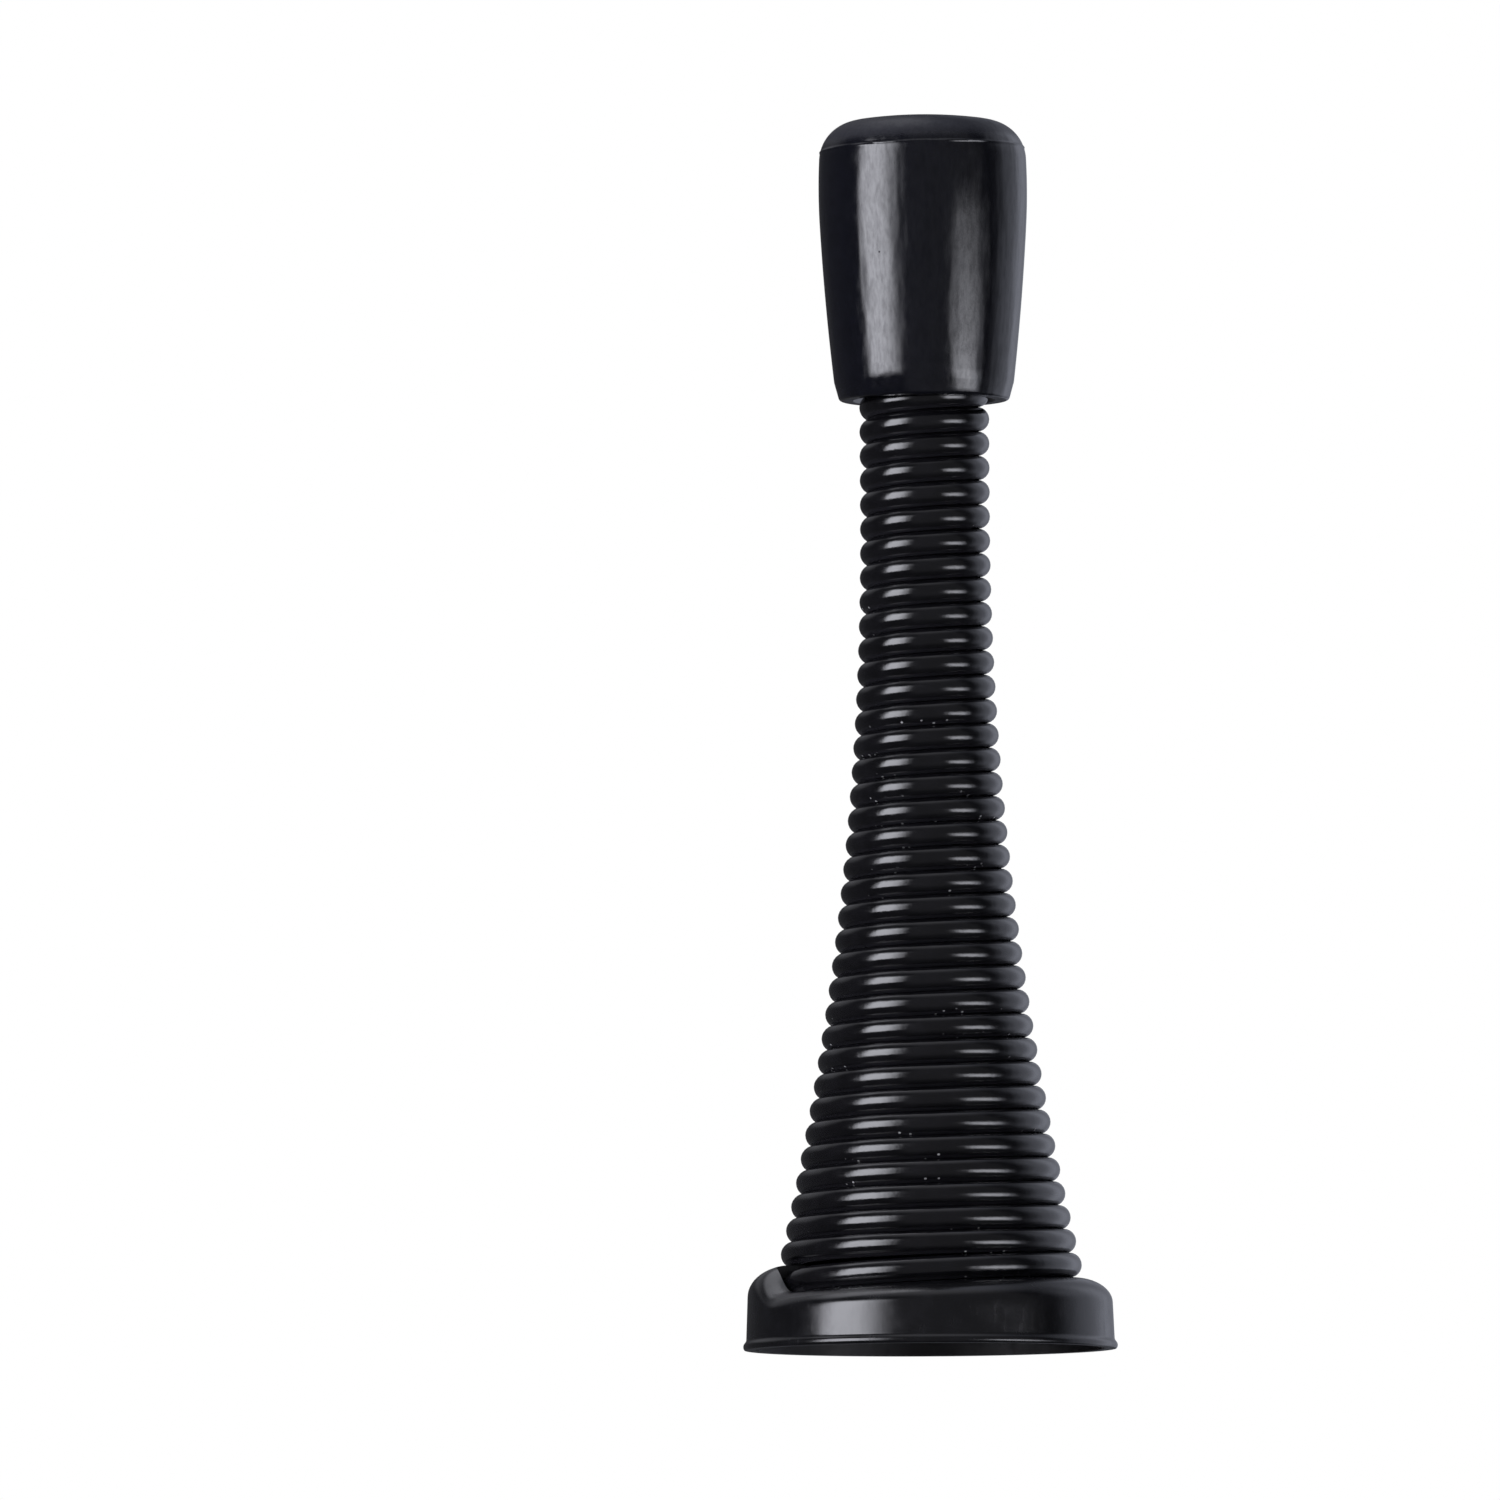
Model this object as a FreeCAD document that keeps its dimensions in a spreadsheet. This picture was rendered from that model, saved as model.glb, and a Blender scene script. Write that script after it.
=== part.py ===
# Spring door stop: a stamped cap with a helical face, one flared close-wound spring, and a moulded tip.
# Millimetres. +Z runs along the axis from the cap to the tip, and z = 0 is the plane of the cap's rim.
# Angles are in degrees, counter-clockwise seen from the tip, from +X. The front is -Y.
import FreeCAD, Part
import math
import os
import Sketcher

V = FreeCAD.Vector
Z_AXIS = V(0, 0, 1)

doc = FreeCAD.newDocument("spring_door_stop")

# Driving dimensions
sheet = doc.addObject("Spreadsheet::Sheet", "sizes")
SIZES = {
    # whole stop
    "overall_length": 80.0,
    # spring
    "wire_diameter": 1.55,
    "coil_gap": 0.03,
    "neck_radius": 4.21,
    "flare_height": 54.0,
    "tip_grip": 8.2,
    "tail_angle": 270.0,
    "first_gap": 0.32,
    "first_gap_angle": 150.0,
    # cap
    "cap_radius": 11.9,
    "sheet_thickness": 0.8,
    "face_height": 5.45,
    "seat_inset": 3.06,
    "seat_gap": 0.03,
    "face_margin": 0.5,
    "shoulder_width": 2.6,
    "shoulder_share": 0.36,
    "wall_draft": 0.1,
    "lip_height": 0.7,
    "lip_overhang": 0.2,
    "lip_nose_height": 0.21,
    "rim_trim": 0.3,
    "mouth_angle": 201.0,
    "mouth_half_angle": 9.0,
    "mouth_clearance": 0.25,
    "hub_radius": 4.6,
    "hub_height": 4.0,
    "screw_hole_radius": 2.25,
    # tip
    "tip_length": 18.5,
    "tip_radius": 6.76,
    "tip_mouth_radius": 5.5,
    "foot_bevel_width": 0.33,
    "foot_bevel_height": 1.2,
    "widest_below_top": 4.8,
    "taper_below_top": 7.1,
    "bulge_radius": 42.0,
    "crown_radius": 30.0,
    "crown_edge_radius": 2.6,
    "mouth_edge_radius": 0.25,
    "bore_clearance": 0.05,
    "bore_over_coils": 1.2,
    "mouth_opening_radius": 4.6,
    "mouth_opening_depth": 0.5,
    "parting_line_below_top": 2.35,
    "parting_line_size": 0.09,
}
for row, (name, value) in enumerate(SIZES.items(), start=1):
    sheet.set("A%d" % row, name)
    sheet.set("B%d" % row, repr(value))
    sheet.setAlias("B%d" % row, name)
doc.recompute()


def size(name):
    return float(sheet.get(name))


def polar(radius, angle, z):
    turn = math.radians(angle)
    return V(radius * math.cos(turn), radius * math.sin(turn), z)


def ease(share):
    # one at the start, zero from share 1 on, level at both ends
    share = min(max(share, 0.0), 1.0)
    return (1 + math.cos(math.pi * share)) / 2


# Spring: where the wire runs
# Turns lie one on the next along a meridian: a straight neck, then a tangent arc that flares to the seat.
# The wire climbs through the cap's mouth, closes up on the turn above and rises to the tip.
wire_radius = size("wire_diameter") / 2
coil_pitch = size("wire_diameter") + size("coil_gap")
neck_line = size("neck_radius") - wire_radius
mouth = size("mouth_angle")
mouth_start = mouth - size("mouth_half_angle")
mouth_end = mouth + size("mouth_half_angle")
first_turn_end = mouth + 360
seat_height = size("face_height") + size("seat_gap") + wire_radius
seat_radius = size("cap_radius") - size("seat_inset")
flare_drop = size("flare_height") - seat_height
flare_widening = seat_radius - neck_line
flare_arc = (flare_drop ** 2 + flare_widening ** 2) / (2 * flare_widening)
flare_length = flare_arc * math.asin(flare_drop / flare_arc)
wire_top = size("overall_length") - size("tip_length") + size("tip_grip")
top_angle = first_turn_end + 360 * (flare_length + wire_top - size("flare_height")) / coil_pitch
tail_end = mouth - size("tail_angle")
under_sheet = size("wire_diameter") + size("sheet_thickness") + 2 * size("seat_gap")


def close_wound(angle):
    # radius and height of the wire's centre, where turns lie against each other
    along = flare_length - coil_pitch * (angle - first_turn_end) / 360
    if along < 0:
        return neck_line, size("flare_height") - along
    bend = along / flare_arc
    radius = neck_line + flare_arc * (1 - math.cos(bend))
    return radius, size("flare_height") - flare_arc * math.sin(bend)


def wire_height(angle):
    # the tail runs on below the turn that seats on the face, one sheet and one wire lower
    if angle < mouth_start:
        return wire_height(angle + 360) - under_sheet
    dip = close_wound(mouth_start)[1] - close_wound(mouth_start + 360)[1] + under_sheet
    first_gap = size("first_gap") * ease((angle - mouth_start) / size("first_gap_angle"))
    climb = (dip - size("first_gap")) * ease((angle - mouth_start) / (mouth_end - mouth_start))
    return close_wound(angle)[1] - first_gap - climb


def wire_point(angle):
    return polar(close_wound(max(angle, mouth_start))[0], angle, wire_height(angle))


def wire_slope(angle, step=0.05):
    ahead = wire_point(angle + step)
    behind = wire_point(angle - step)
    return (ahead - behind).multiply(0.5 / math.radians(step))


def wire_span(start, end, points=12):
    angles = [start + (end - start) * i / points for i in range(points + 1)]
    curve = Part.BSplineCurve()
    curve.interpolate(
        Points=[wire_point(angle) for angle in angles],
        Parameters=[math.radians(angle) for angle in angles],
        InitialTangent=wire_slope(start),
        FinalTangent=wire_slope(end),
        Scale=False,
    )
    return curve.toShape()


def wire_path():
    turns = math.ceil((top_angle - mouth_end) / 360)
    step = (top_angle - mouth_end) / turns
    spans = [wire_span(tail_end, mouth_start), wire_span(mouth_start, mouth_end)]
    spans += [wire_span(mouth_end + i * step, mouth_end + (i + 1) * step) for i in range(turns)]
    return Part.Wire(spans)


def make_spring():
    path = doc.addObject("Part::Feature", "spring_path")
    path.Shape = wire_path()
    section = doc.addObject("Part::Circle", "wire_section")
    section.setExpression("Radius", "sizes.wire_diameter / 2")
    turned = FreeCAD.Rotation(Z_AXIS, wire_slope(tail_end))
    section.Placement = FreeCAD.Placement(wire_point(tail_end), turned)
    spring = doc.addObject("Part::Sweep", "spring")
    spring.Sections = [section]
    spring.Spine = (path, ["Edge%d" % (i + 1) for i in range(len(path.Shape.Edges))])
    spring.Solid = True
    spring.Frenet = False
    return spring


# Cap: the height of its face, which lies under the first turn of the wire all the way round


def climbing_face(angle):
    return wire_height(angle) - wire_radius - size("seat_gap")


def face_at(angle):
    # the face falls steeply across the mouth, from its high side to its low side
    half = size("mouth_half_angle")
    past = (angle - mouth + 180) % 360 - 180
    if abs(past) >= half:
        return climbing_face(mouth + past % 360)
    high = climbing_face(first_turn_end - half)
    low = climbing_face(mouth + half)
    return low + (high - low) * ease((past + half) / (2 * half))


def quarter_oval(start, end, angle, level_at_end):
    # a quarter of an ellipse between two points of a radial section, as a cubic
    arm = 4 / 3 * (math.sqrt(2) - 1)
    (r0, z0), (r1, z1) = start, end
    if level_at_end:
        poles = [(r0, z0), (r0, z0 + arm * (z1 - z0)), (r1 + arm * (r0 - r1), z1), (r1, z1)]
    else:
        poles = [(r0, z0), (r0 + arm * (r1 - r0), z0), (r1, z1 + arm * (z0 - z1)), (r1, z1)]
    curve = Part.BezierCurve()
    curve.setPoles([polar(r, angle, z) for r, z in poles])
    return curve.toShape()


def s_curve(start, end, angle):
    # level at both ends
    (r0, z0), (r1, z1) = start, end
    middle = (r0 + r1) / 2
    curve = Part.BezierCurve()
    curve.setPoles([polar(r, angle, z) for r, z in [(r0, z0), (middle, z0), (middle, z1), (r1, z1)]])
    return curve.toShape()


def bead_curve(start, end, angle):
    # upright at both ends: hollow where it leaves the wall, round where it ends
    (r0, z0), (r1, z1) = start, end
    middle = (z0 + z1) / 2
    curve = Part.BezierCurve()
    curve.setPoles([polar(r, angle, z) for r, z in [(r0, z0), (r0, middle), (r1, middle), (r1, z1)]])
    return curve.toShape()


def line(start, end, angle):
    return Part.makeLine(polar(start[0], angle, start[1]), polar(end[0], angle, end[1]))


def cap_section(angle):
    wall = size("cap_radius")
    sheet_wall = size("sheet_thickness")
    height = face_at(angle)
    narrow = wall - size("wall_draft")
    lip = wall + size("lip_overhang")
    corner = wall - size("shoulder_width")
    flat_end = seat_radius - wire_radius - size("face_margin")
    hub = size("hub_radius")
    hub_height = size("hub_height")
    core = size("screw_hole_radius") / 2
    shoulder = height * (1 - size("shoulder_share"))
    below_rim = -size("rim_trim")
    rim_out = (wall, below_rim)
    rim_edge = (wall, -size("rim_trim") / 6)
    lip_nose = (lip, size("lip_nose_height"))
    wall_foot = (wall, size("lip_height"))
    wall_top = (narrow, shoulder)
    face_edge = (corner, height)
    face_in = (flat_end, height)
    hub_edge = (hub, hub_height)
    middle = (core, hub_height)
    under_middle = (core, hub_height - sheet_wall)
    under_hub = (hub, hub_height - sheet_wall)
    under_face_in = (flat_end, height - sheet_wall)
    under_face_edge = (corner, height - sheet_wall)
    inner_wall_top = (narrow - sheet_wall, shoulder)
    inner_rim = (wall - sheet_wall, below_rim)
    edges = [
        line(rim_out, rim_edge, angle),
        quarter_oval(rim_edge, lip_nose, angle, False),
        bead_curve(wall_foot, lip_nose, angle),
        line(wall_foot, wall_top, angle),
        quarter_oval(wall_top, face_edge, angle, True),
        line(face_edge, face_in, angle),
        s_curve(face_in, hub_edge, angle),
        line(hub_edge, middle, angle),
        line(middle, under_middle, angle),
        line(under_middle, under_hub, angle),
        s_curve(under_hub, under_face_in, angle),
        line(under_face_in, under_face_edge, angle),
        quarter_oval(under_face_edge, inner_wall_top, angle, False),
        line(inner_wall_top, inner_rim, angle),
        line(inner_rim, rim_out, angle),
    ]
    return Part.Wire(Part.__sortEdges__(edges))


def loft_over(start, end, step):
    # through even sections, from one angle past the mouth to another
    return Part.makeLoft([cap_section(mouth + past) for past in range(start, end + step, step)], True, False)


def make_cap():
    half = size("mouth_half_angle")
    form = doc.addObject("Part::Feature", "cap_form")
    # close sections round the mouth, wide ones where the face climbs evenly
    mouth_side = loft_over(-90, 90, 2)
    far_side = loft_over(90, 270, 15)
    form.Shape = mouth_side.fuse(far_side)
    hole = doc.addObject("Part::Cylinder", "screw_hole")
    hole.setExpression("Radius", "sizes.screw_hole_radius")
    hole.setExpression("Height", "sizes.hub_height + sizes.face_height")
    slot = doc.addObject("Part::Cylinder", "mouth_slot")
    path_radius = close_wound(mouth)[0]
    slot.Radius = path_radius + wire_radius + size("mouth_clearance")
    slot.setExpression("Angle", "2 * sizes.mouth_half_angle")
    slot.setExpression("Height", "2 * sizes.face_height")
    slot.Placement = FreeCAD.Placement(V(), FreeCAD.Rotation(Z_AXIS, mouth - half))
    island = doc.addObject("Part::Cylinder", "slot_inner")
    island.Radius = path_radius - wire_radius - size("mouth_clearance")
    island.setExpression("Height", "2 * sizes.face_height")
    ring = doc.addObject("Part::Cut", "slot_ring")
    ring.Base = slot
    ring.Tool = island
    trim = doc.addObject("Part::Cylinder", "rim_trim")
    trim.setExpression("Radius", "sizes.cap_radius + 2 * sizes.lip_overhang")
    trim.setExpression("Height", "2 * sizes.rim_trim")
    trim.setExpression("Placement.Base.z", "-2 * sizes.rim_trim")
    trimmed = doc.addObject("Part::Cut", "cap_trimmed")
    trimmed.Base = form
    trimmed.Tool = trim
    pierced = doc.addObject("Part::Cut", "cap_with_slot")
    pierced.Base = trimmed
    pierced.Tool = ring
    cap = doc.addObject("Part::Cut", "base_cap")
    cap.Base = pierced
    cap.Tool = hole
    return cap


def add_constraints(sketch, rows):
    # each row: an optional expression, then the constraint's kind and its arguments
    for expression, *parts in rows:
        index = sketch.addConstraint(Sketcher.Constraint(*parts))
        if expression:
            sketch.setExpression("Constraints[%d]" % index, expression)


def body_sketch(body, name):
    plane = [item for item in body.Origin.OriginFeatures if item.Role == "XZ_Plane"]
    sketch = body.newObject("Sketcher::SketchObject", name)
    sketch.AttachmentSupport = [(plane[0], "")]
    sketch.MapMode = "FlatFace"
    return sketch


def arc(center, radius, start, end):
    circle = Part.Circle(V(center[0], center[1], 0), Z_AXIS, radius)
    return Part.ArcOfCircle(circle, start, end)


def segment(start, end):
    return Part.LineSegment(V(start[0], start[1], 0), V(end[0], end[1], 0))


def draw_tip_profile(sketch):
    top = size("overall_length")
    mouth_height = top - size("tip_length")
    crown = size("crown_radius")
    bulge = size("bulge_radius")
    widest = top - size("widest_below_top")
    taper = top - size("taper_below_top")
    bulge_center = (size("tip_radius") - bulge, widest)
    taper_turn = math.asin((widest - taper) / bulge)
    joint = (bulge_center[0] + bulge * math.cos(taper_turn), taper)
    foot = (size("tip_mouth_radius"), mouth_height)
    wall_end = (foot[0] + size("foot_bevel_width"), foot[1] + size("foot_bevel_height"))
    # the wall's arc runs on from the bulge without a corner and ends at the foot's bevel
    inward = V(bulge_center[0] - joint[0], bulge_center[1] - joint[1], 0).normalize()
    chord = V(wall_end[0] - joint[0], wall_end[1] - joint[1], 0)
    wall = chord.Length ** 2 / (2 * chord.dot(inward))
    wall_center = (joint[0] + wall * inward.x, joint[1] + wall * inward.y)
    wall_start = math.atan2(wall_end[1] - wall_center[1], wall_end[0] - wall_center[0])
    bore = size("neck_radius") + size("bore_clearance")
    bore_top = mouth_height + size("tip_grip") + size("bore_over_coils")
    # a first guess of the corner under the crown, which the constraints settle
    corner_drop = size("crown_edge_radius") / 2
    edge_turn = math.asin((size("widest_below_top") - corner_drop) / bulge)
    crown_start = math.acos((bulge_center[0] + bulge * math.cos(edge_turn)) / crown)
    opening = (size("mouth_opening_radius"), mouth_height)
    chamfer_top = (bore, mouth_height + size("mouth_opening_depth"))
    sketch.addGeometry(arc((0, top - crown), crown, crown_start, math.pi / 2), False)
    sketch.addGeometry(arc(bulge_center, bulge, -taper_turn, edge_turn), False)
    sketch.addGeometry(arc(wall_center, wall, wall_start, -taper_turn), False)
    sketch.addGeometry(segment(foot, opening), False)
    sketch.addGeometry(segment(opening, chamfer_top), False)
    sketch.addGeometry(segment(chamfer_top, (bore, bore_top)), False)
    sketch.addGeometry(segment((bore, bore_top), (0, bore_top)), False)
    sketch.addGeometry(segment((0, bore_top), (0, top)), False)
    sketch.addGeometry(segment(wall_end, foot), False)
    add_constraints(sketch, [
        (None, "Coincident", 0, 1, 1, 2),
        (None, "Tangent", 1, 1, 2, 2),
        (None, "Coincident", 2, 1, 8, 1),
        (None, "Coincident", 8, 2, 3, 1),
        (None, "Coincident", 3, 2, 4, 1),
        (None, "Coincident", 4, 2, 5, 1),
        (None, "Coincident", 5, 2, 6, 1),
        (None, "Coincident", 6, 2, 7, 1),
        (None, "Coincident", 7, 2, 0, 2),
        (None, "PointOnObject", 0, 3, -2),
        (None, "PointOnObject", 7, 1, -2),
        (None, "PointOnObject", 7, 2, -2),
        (None, "Horizontal", 3),
        (None, "Vertical", 5),
        (None, "Horizontal", 6),
        ("sizes.crown_radius", "Radius", 0, crown),
        ("sizes.bulge_radius", "Radius", 1, bulge),
        ("sizes.overall_length", "DistanceY", -1, 1, 7, 2, top),
        ("sizes.overall_length - sizes.widest_below_top", "DistanceY", -1, 1, 1, 3, widest),
        ("sizes.bulge_radius - sizes.tip_radius", "DistanceX", 1, 3, -1, 1, -bulge_center[0]),
        ("sizes.overall_length - sizes.taper_below_top", "DistanceY", -1, 1, 1, 1, taper),
        ("sizes.tip_mouth_radius", "DistanceX", -1, 1, 3, 1, foot[0]),
        ("sizes.overall_length - sizes.tip_length", "DistanceY", -1, 1, 3, 1, foot[1]),
        ("sizes.foot_bevel_width", "DistanceX", 8, 2, 8, 1, wall_end[0] - foot[0]),
        ("sizes.foot_bevel_height", "DistanceY", 8, 2, 8, 1, wall_end[1] - foot[1]),
        ("sizes.mouth_opening_radius", "DistanceX", -1, 1, 3, 2, opening[0]),
        ("sizes.neck_radius + sizes.bore_clearance", "DistanceX", -1, 1, 5, 1, bore),
        ("sizes.mouth_opening_depth", "DistanceY", 3, 2, 4, 2, size("mouth_opening_depth")),
        ("sizes.tip_grip + sizes.bore_over_coils", "DistanceY", 3, 1, 6, 1, bore_top - mouth_height),
    ])


def draw_parting_line(sketch):
    below = size("widest_below_top") - size("parting_line_below_top")
    bulge = size("bulge_radius")
    radius = size("tip_radius") - bulge + math.sqrt(bulge ** 2 - below ** 2)
    height = size("overall_length") - size("parting_line_below_top")
    circle = Part.Circle(V(radius, height, 0), Z_AXIS, size("parting_line_size"))
    sketch.addGeometry(circle, False)
    wall_radius = ("sizes.tip_radius - sizes.bulge_radius + sqrt(sizes.bulge_radius ^ 2"
                   " - (sizes.widest_below_top - sizes.parting_line_below_top) ^ 2)")
    add_constraints(sketch, [
        ("sizes.parting_line_size", "Radius", 0, size("parting_line_size")),
        (wall_radius, "DistanceX", -1, 1, 0, 3, radius),
        ("sizes.overall_length - sizes.parting_line_below_top", "DistanceY", -1, 1, 0, 3, height),
    ])


def revolve(body, name, sketch):
    turned = body.newObject("PartDesign::Revolution", name)
    turned.Profile = sketch
    turned.ReferenceAxis = (sketch, ["V_Axis"])
    turned.Angle = 360
    doc.recompute()
    return turned


def ring_edge(feature, radius, height, reach=0.02):
    # the name of the feature's circular edge nearest a radius and height
    for i, edge in enumerate(feature.Shape.Edges):
        point = edge.valueAt(edge.FirstParameter)
        if abs(math.hypot(point.x, point.y) - radius) < reach and abs(point.z - height) < reach:
            if edge.Length > radius:
                return "Edge%d" % (i + 1)
    raise ValueError("no edge at radius %.2f, height %.2f" % (radius, height))


def crown_edge(feature):
    # the corner where the crown meets the wall: the highest circular edge off the axis
    best = None
    for i, edge in enumerate(feature.Shape.Edges):
        box = edge.BoundBox
        if box.ZLength < 0.01 and edge.Length > size("tip_radius") * 3:
            if best is None or box.ZMax > best[0]:
                best = (box.ZMax, "Edge%d" % (i + 1))
    return best[1]


def round_edge(body, name, feature, edge, radius_name):
    rounded = body.newObject("PartDesign::Fillet", name)
    rounded.Base = (feature, [edge])
    rounded.setExpression("Radius", "sizes." + radius_name)
    doc.recompute()
    return rounded


def make_tip():
    body = doc.addObject("PartDesign::Body", "rubber_tip")
    profile = body_sketch(body, "tip_profile")
    draw_tip_profile(profile)
    turned = revolve(body, "tip_turned", profile)
    crowned = round_edge(body, "tip_crown", turned, crown_edge(turned), "crown_edge_radius")
    foot_height = size("overall_length") - size("tip_length")
    foot_edge = ring_edge(crowned, size("tip_mouth_radius"), foot_height)
    footed = round_edge(body, "tip_foot", crowned, foot_edge, "mouth_edge_radius")
    parting = body_sketch(body, "parting_line_profile")
    draw_parting_line(parting)
    lined = revolve(body, "parting_line", parting)
    body.Tip = lined
    return body


def check_and_export(parts):
    for obj in doc.Objects:
        if "Invalid" in obj.State or "Error" in obj.State:
            raise RuntimeError("%s failed: %s" % (obj.Name, obj.State))
    os.makedirs("parts", exist_ok=True)
    for part in parts:
        shape = part.Shape
        if shape.isNull() or not shape.isValid() or len(shape.Solids) != 1:
            raise RuntimeError("%s has no sound solid" % part.Name)
        print("%s: %.1f mm3, %d faces" % (part.Label, shape.Volume, len(shape.Faces)))
        shape.exportStep("parts/%s.step" % part.Label)


def main():
    parts = [make_spring(), make_cap(), make_tip()]
    doc.recompute()
    check_and_export(parts)


main()
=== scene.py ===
# Spring door stop: its three pieces as fine meshes with their finish, a pale floor,
# a soft studio and the camera. Metres. +Z runs from the cap to the tip, and the front is -Y.
import bpy
import math
from mathutils import Matrix, Vector


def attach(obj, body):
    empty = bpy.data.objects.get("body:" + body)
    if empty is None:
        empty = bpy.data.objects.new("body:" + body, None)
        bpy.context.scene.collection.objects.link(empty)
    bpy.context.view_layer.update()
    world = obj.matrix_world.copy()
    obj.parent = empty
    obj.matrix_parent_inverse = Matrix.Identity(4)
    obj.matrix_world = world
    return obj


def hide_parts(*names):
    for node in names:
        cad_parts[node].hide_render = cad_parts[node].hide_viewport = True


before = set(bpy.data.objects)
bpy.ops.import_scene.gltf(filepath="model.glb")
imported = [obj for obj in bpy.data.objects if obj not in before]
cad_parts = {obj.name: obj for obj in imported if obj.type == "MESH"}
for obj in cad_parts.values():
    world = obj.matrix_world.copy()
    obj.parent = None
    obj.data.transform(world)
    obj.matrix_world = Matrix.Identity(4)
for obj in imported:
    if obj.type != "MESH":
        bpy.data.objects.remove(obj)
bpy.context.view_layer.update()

MM = 0.001

# Real sizes of the pieces, in millimetres and degrees, as the solids have them
OVERALL_LENGTH = 80.0

WIRE_DIAMETER = 1.55
COIL_GAP = 0.03
NECK_RADIUS = 4.21
FLARE_HEIGHT = 54.0
TIP_GRIP = 8.2
TAIL_ANGLE = 270.0
FIRST_GAP = 0.32
FIRST_GAP_ANGLE = 150.0

CAP_RADIUS = 11.9
SHEET = 0.8
FACE_HEIGHT = 5.45
SEAT_INSET = 3.06
SEAT_GAP = 0.03
FACE_MARGIN = 0.5
SHOULDER_WIDTH = 2.6
SHOULDER_SHARE = 0.36
WALL_DRAFT = 0.1
LIP_HEIGHT = 0.7
LIP_OVERHANG = 0.2
LIP_NOSE_HEIGHT = 0.21
RIM_TRIM = 0.3
MOUTH_ANGLE = 201.0
MOUTH_HALF_ANGLE = 9.0
MOUTH_CLEARANCE = 0.25
HUB_RADIUS = 4.6
HUB_HEIGHT = 4.0
SCREW_HOLE_RADIUS = 2.25

TIP_LENGTH = 18.5
TIP_RADIUS = 6.76
TIP_MOUTH_RADIUS = 5.5
FOOT_BEVEL_WIDTH = 0.33
FOOT_BEVEL_HEIGHT = 1.2
WIDEST_BELOW_TOP = 4.8
TAPER_BELOW_TOP = 7.1
BULGE_RADIUS = 42.0
CROWN_RADIUS = 30.0
CROWN_EDGE_RADIUS = 2.6
MOUTH_EDGE_RADIUS = 0.25
BORE_CLEARANCE = 0.05
BORE_OVER_COILS = 1.2
MOUTH_OPENING_RADIUS = 4.6
MOUTH_OPENING_DEPTH = 0.5
PARTING_LINE_BELOW_TOP = 2.35

# What follows from them
WIRE_RADIUS = WIRE_DIAMETER / 2
PITCH = WIRE_DIAMETER + COIL_GAP
NECK_LINE = NECK_RADIUS - WIRE_RADIUS
MOUTH_START = MOUTH_ANGLE - MOUTH_HALF_ANGLE
MOUTH_END = MOUTH_ANGLE + MOUTH_HALF_ANGLE
FIRST_TURN_END = MOUTH_ANGLE + 360
SEAT_HEIGHT = FACE_HEIGHT + SEAT_GAP + WIRE_RADIUS
SEAT_RADIUS = CAP_RADIUS - SEAT_INSET
FLARE_DROP = FLARE_HEIGHT - SEAT_HEIGHT
FLARE_WIDENING = SEAT_RADIUS - NECK_LINE
FLARE_ARC = (FLARE_DROP ** 2 + FLARE_WIDENING ** 2) / (2 * FLARE_WIDENING)
FLARE_LENGTH = FLARE_ARC * math.asin(FLARE_DROP / FLARE_ARC)
UNDER_SHEET = WIRE_DIAMETER + SHEET + 2 * SEAT_GAP
TIP_FOOT = OVERALL_LENGTH - TIP_LENGTH
WIRE_TOP = TIP_FOOT + TIP_GRIP
TOP_ANGLE = FIRST_TURN_END + 360 * (FLARE_LENGTH + WIRE_TOP - FLARE_HEIGHT) / PITCH
TAIL_END = MOUTH_ANGLE - TAIL_ANGLE
# the lip's lower round would end this far below the plane of the trimmed rim
LIP_ROUND_DROP = RIM_TRIM / 6

# How fine the meshes are
WIRE_STEP_DEGREES = 5.0
WIRE_SIDES = 24
CAP_STEPS = 288
MOUTH_STEPS = 16
TIP_STEPS = 192
# the wire's direction is taken between two points this many degrees to either side
WIRE_LOOK = 0.5
# small fans of triangles close the middle of the tip's crown and of its bore
CROWN_FAN_RADIUS = 0.35
BORE_FAN_RADIUS = 0.3
# edges sharper than this many degrees are shaded as edges
SHARP_ANGLE = 40

# Half the wire's height in the mesh: the turns just overlap, so no daylight shows between them
TURN_OVERLAP = 0.005
TOUCH_RADIUS = WIRE_RADIUS + COIL_GAP / 2 + TURN_OVERLAP

# The moulding's parting line stands proud, a little above the solid's, and runs slightly askew
SEAM_RAISE = 0.15
SEAM_PLACE = OVERALL_LENGTH - PARTING_LINE_BELOW_TOP + SEAM_RAISE
SEAM_SLOPE = 0.02
SEAM_WIDTH = 0.07
SEAM_HEIGHT = 0.055

# Linear colours: the darker and lighter patches of each finish, what lies on them, and the painted
# light and glints on the wire
WIRE_DARK = (0.0042, 0.0041, 0.0052, 1)
WIRE_LIGHT = (0.0072, 0.007, 0.0088, 1)
# painted light in the wire's grooves: lighter than the wire, partly dust, partly lifting the grooves
# out of their shade
WIRE_GROOVE_DUST_AND_PAINTED_LIGHT = (0.042, 0.041, 0.048, 1)
# painted highlight: white glints on the beads in the grooves, also the colour of the dust specks
WIRE_DUST_AND_GLINT = (0.8, 0.8, 0.8, 1)
CAP_DARK = (0.0045, 0.0045, 0.0056, 1)
CAP_LIGHT = (0.0074, 0.0074, 0.0092, 1)
CAP_INSIDE = (0.036, 0.035, 0.037, 1)
CAP_MOTE = (0.13, 0.13, 0.13, 1)
RUBBER_DARK = (0.004, 0.0044, 0.0076, 1)
RUBBER_LIGHT = (0.0055, 0.0059, 0.01, 1)
RUBBER_CROWN = (0.018, 0.0185, 0.026, 1)
RUBBER_MOTE = (0.08, 0.085, 0.09, 1)
FLOOR_TONE = (0.88, 0.88, 0.88, 1)
PAPER_WHITE = (1, 1, 1, 1)
STUDIO_TINT = (0.975, 0.983, 1.065, 1)
REAR_TINT = (0.94, 0.98, 1.15, 1)

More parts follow.
